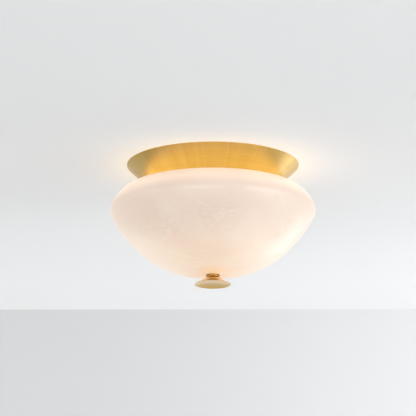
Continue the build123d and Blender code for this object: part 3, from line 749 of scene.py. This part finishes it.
def threaded(low, high, radius, depth, pitch, segments, finish, bore=0.0, place=Matrix.Identity(4)):
    """A threaded rod or tube from one height to another."""
    length = high - low
    values = {"Start": low, "Length": length, "Radius": radius, "Depth": depth, "Bore": bore,
              "Pitch": pitch, "Rows": int(length / pitch * ROWS_PER_TURN) + 1, "Segments": segments}
    return pattern_mesh(threaded_wall, values, finish, place)


low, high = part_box("threaded_rod")
rod = threaded(low.z, high.z, high.x, depth=0.00055, pitch=0.001, segments=20, finish="rod_steel",
               bore=0.0034)
joined_piece("rod_thread", [rod], "root", "rod_steel", "threaded_rod")

low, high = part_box("canopy_studs")
stud_radius = high.y
studs = [threaded(low.z, high.z, stud_radius, depth=0.0004, pitch=0.0007, segments=16, finish="zinc_steel",
                  place=Matrix.Translation((x, 0, 0)))
         for x in (low.x + stud_radius, high.x - stud_radius)]
joined_piece("stud_threads", studs, "root", "zinc_steel", "canopy_studs")


# Screws

def screws(head, shank, slots, finish, start, step=(0, 0, 0), count=1, place=Matrix.Identity(4)):
    """A row of screws. Head and shank are each a radius and a length, and slots the two slots' lengths."""
    values = {"Head Radius": head[0], "Head Height": head[1], "Shank Radius": shank[0],
              "Shank Length": shank[1], "Slot Length": slots[0], "Cross Length": slots[1],
              "Slot Width": SLOT_WIDTH, "Slot Depth": SLOT_DEPTH,
              "Start": start, "Step": step, "Count": count}
    return pattern_mesh(screw_row, values, finish, place)


for side_name, side in (("left", -1), ("right", 1)):
    low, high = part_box(f"holder_screws_{side_name}")
    head_radius = high.y
    spread = (high.z - low.z) / 2 - head_radius
    under_head = min(abs(low.x), abs(high.x)) + SMALL_HEAD
    tip = max(abs(low.x), abs(high.x))
    made = screws((head_radius, SMALL_HEAD), (SMALL_SHANK, tip - under_head), (SMALL_CROSS, SMALL_CROSS),
                  "zinc_steel", start=(-spread, 0, -under_head), step=(2 * spread, 0, 0), count=2,
                  place=along_lamp(side) @ Matrix.Rotation(math.pi, 4, "X"))
    joined_piece(f"holder_screw_pair_{side_name}", [made], "root", "zinc_steel", f"holder_screws_{side_name}")

low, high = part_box("terminal_clamp_screws")
clamp_radius = (high.x - low.x) / 2
made = screws((clamp_radius, high.z - low.z - CLAMP_TIP), (clamp_radius * CLAMP_TIP_SHARE, CLAMP_TIP),
              (CLAMP_SLOT, SLOT_WIDTH), "contact_brass",
              start=((low.x + high.x) / 2, low.y + clamp_radius, low.z + CLAMP_TIP),
              step=(0, (high.y - low.y) / 2 - clamp_radius, 0), count=3)
joined_piece("clamp_screw_set", [made], "root", "contact_brass", "terminal_clamp_screws")

low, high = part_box("terminal_fixing_screw")
made = screws(((high.x - low.x) / 2, SMALL_HEAD), (SMALL_SHANK, high.z - SMALL_HEAD - low.z),
              (SMALL_CROSS, SMALL_CROSS), "zinc_steel",
              start=((low.x + high.x) / 2, 0, high.z - SMALL_HEAD))
joined_piece("block_screw", [made], "root", "zinc_steel", "terminal_fixing_screw")

# The earth screw goes up into the crossbar, so its head is below
low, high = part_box("earth_screw")
made = screws(((high.x - low.x) / 2, EARTH_HEAD), (EARTH_SHANK, high.z - low.z - EARTH_HEAD),
              (EARTH_SLOT, SLOT_WIDTH), "earth_green",
              start=(-(low.x + high.x) / 2, 0, -(low.z + EARTH_HEAD)),
              place=Matrix.Rotation(math.pi, 4, "Y"))
joined_piece("earth_screw_head", [made], "root", "earth_green", "earth_screw")


# Teeth on the lock washer and knurls on the canopy's cap nuts

def teeth(radius, middle, count, tooth, lean, finish, place=Matrix.Identity(4)):
    values = {"Radius": radius, "Middle": middle, "Count": count, "Tooth": tooth, "Lean": lean}
    return pattern_mesh(toothed_ring, values, finish, place)


low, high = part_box("bracket_lock_washer")
made = teeth(high.x - WASHER_TOOTH_INSET, (low.z + high.z) / 2, count=18, tooth=WASHER_TOOTH, lean=0.5,
             finish="zinc_steel")
joined_piece("lock_washer_teeth", [made], "root", "zinc_steel")

low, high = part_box("canopy_cap_nuts")
nut_radius = high.y
knurls = [teeth(nut_radius - KNURL_INSET, high.z - KNURL_DROP, count=40, tooth=KNURL, lean=0.0,
                finish="cap_nut_brass", place=Matrix.Translation((x, 0, 0)))
          for x in (low.x + nut_radius, high.x - nut_radius)]
joined_piece("cap_nut_knurls", knurls, "root", "cap_nut_brass")


# The room

def one_sided(name, colour, lift=0.0, more=0.0, axis=0, start=-1.0, end=1.0):
    """A pale matte wall that shows from its front and lets everything through from behind.

    The eye, metal and glass also see it lifted a little towards white, which lights nothing.
    The lift grows by more from start to end along the axis named by its number, and fades out low down.
    """
    material = bpy.data.materials.new(name)
    material.use_nodes = True
    tree = material.node_tree
    tree.nodes.clear()
    behind = add(tree, "ShaderNodeNewGeometry").outputs["Backfacing"]
    ray = add(tree, "ShaderNodeLightPath").outputs
    through = calc(tree, "MAXIMUM", ray["Is Glossy Ray"], ray["Is Transmission Ray"])
    seen = calc(tree, "MAXIMUM", ray["Is Camera Ray"], through)
    place = split(tree, add(tree, "ShaderNodeTexCoord").outputs["Object"])
    strength = calc(tree, "MULTIPLY", seen, band(tree, place[axis], start, end, lift, lift + more))
    strength = calc(tree, "MULTIPLY", strength, band(tree, place[2], LIFT_NONE, LIFT_FULL))
    plain = add(tree, "ShaderNodeBsdfDiffuse", {"Color": colour})
    lifted = add(tree, "ShaderNodeEmission", {"Color": colour, "Strength": strength})
    front = add(tree, "ShaderNodeAddShader", {0: plain.outputs[0], 1: lifted.outputs[0]})
    clear = add(tree, "ShaderNodeBsdfTransparent")
    both = add(tree, "ShaderNodeMixShader", {0: behind, 1: front.outputs[0], 2: clear.outputs[0]})
    add(tree, "ShaderNodeOutputMaterial", {"Surface": both.outputs[0]})
    return material


def room_plane(name, centre, size, turn, material):
    """A wall about X = 0, turned about X from lying with its front up."""
    bpy.ops.mesh.primitive_plane_add(size=1)
    plane = bpy.context.object
    plane.name = name
    stretch = Matrix.Diagonal((*size, 1, 1))
    plane.data.transform(Matrix.Translation(centre) @ Matrix.Rotation(turn, 4, "X") @ stretch)
    plane.data.materials.append(material)


room_middle = ROOM_BACK - ROOM_DEPTH / 2
room_plane("ceiling", (0, room_middle, 0), (ROOM_WIDTH, ROOM_DEPTH), math.pi,
           one_sided("ceiling_paint", tint(236, 236, 236), lift=0.31, more=0.15, axis=1, start=-0.4, end=1.1))
room_plane("back_wall", (0, ROOM_BACK, ROOM_FLOOR / 2), (ROOM_WIDTH, -ROOM_FLOOR), math.pi / 2,
           one_sided("wall_paint", tint(230, 231, 232), lift=0.19, more=0.16, axis=0, start=-0.3, end=0.6))
room_plane("floor", (0, room_middle, ROOM_FLOOR), (ROOM_WIDTH, ROOM_DEPTH), 0,
           one_sided("floor_paint", tint(214, 214, 213)))

world = bpy.data.worlds.new("room_air")
world.use_nodes = True
world.node_tree.nodes["Background"].inputs["Color"].default_value = tint(250, 251, 252)
world.node_tree.nodes["Background"].inputs["Strength"].default_value = 1.22
bpy.context.scene.world = world


def looking(place, target):
    """The turn that points a lamp or a camera from its place to its target."""
    return (Vector(target) - Vector(place)).to_track_quat("-Z", "Y").to_euler()


def soft_lamp(name, place, size, watts, colour):
    """A large soft lamp outside the frame, pointed at the light."""
    light = bpy.data.lights.new(name, "AREA")
    light.shape = "RECTANGLE"
    light.size, light.size_y = size
    light.energy = watts
    light.color = colour[:3]
    lamp = bpy.data.objects.new(name, light)
    lamp.location = place
    lamp.rotation_euler = looking(place, LIGHT_TARGET)
    bpy.context.scene.collection.objects.link(lamp)


soft_lamp("right_window", (2.6, -1.5, -0.75), size=(1.6, 2.0), watts=26.5, colour=tint(250, 251, 253))
soft_lamp("edge_light", (0.80, 0.90, -0.62), size=(0.5, 0.6), watts=1.2, colour=tint(240, 247, 255))
soft_lamp("front_fill", (-1.2, -4.2, -1.6), size=(2.4, 1.6), watts=25, colour=tint(250, 252, 255))

# The camera, below the light and looking up at it
camera = bpy.data.objects.new("camera", bpy.data.cameras.new("camera"))
camera.data.lens = CAMERA_LENS
camera.data.sensor_width = 36.0
camera.location = CAMERA_PLACE
camera.rotation_euler = looking(CAMERA_PLACE, CAMERA_TARGET)
bpy.context.scene.collection.objects.link(camera)
bpy.context.scene.camera = camera
bpy.context.scene.view_settings.view_transform = "Standard"
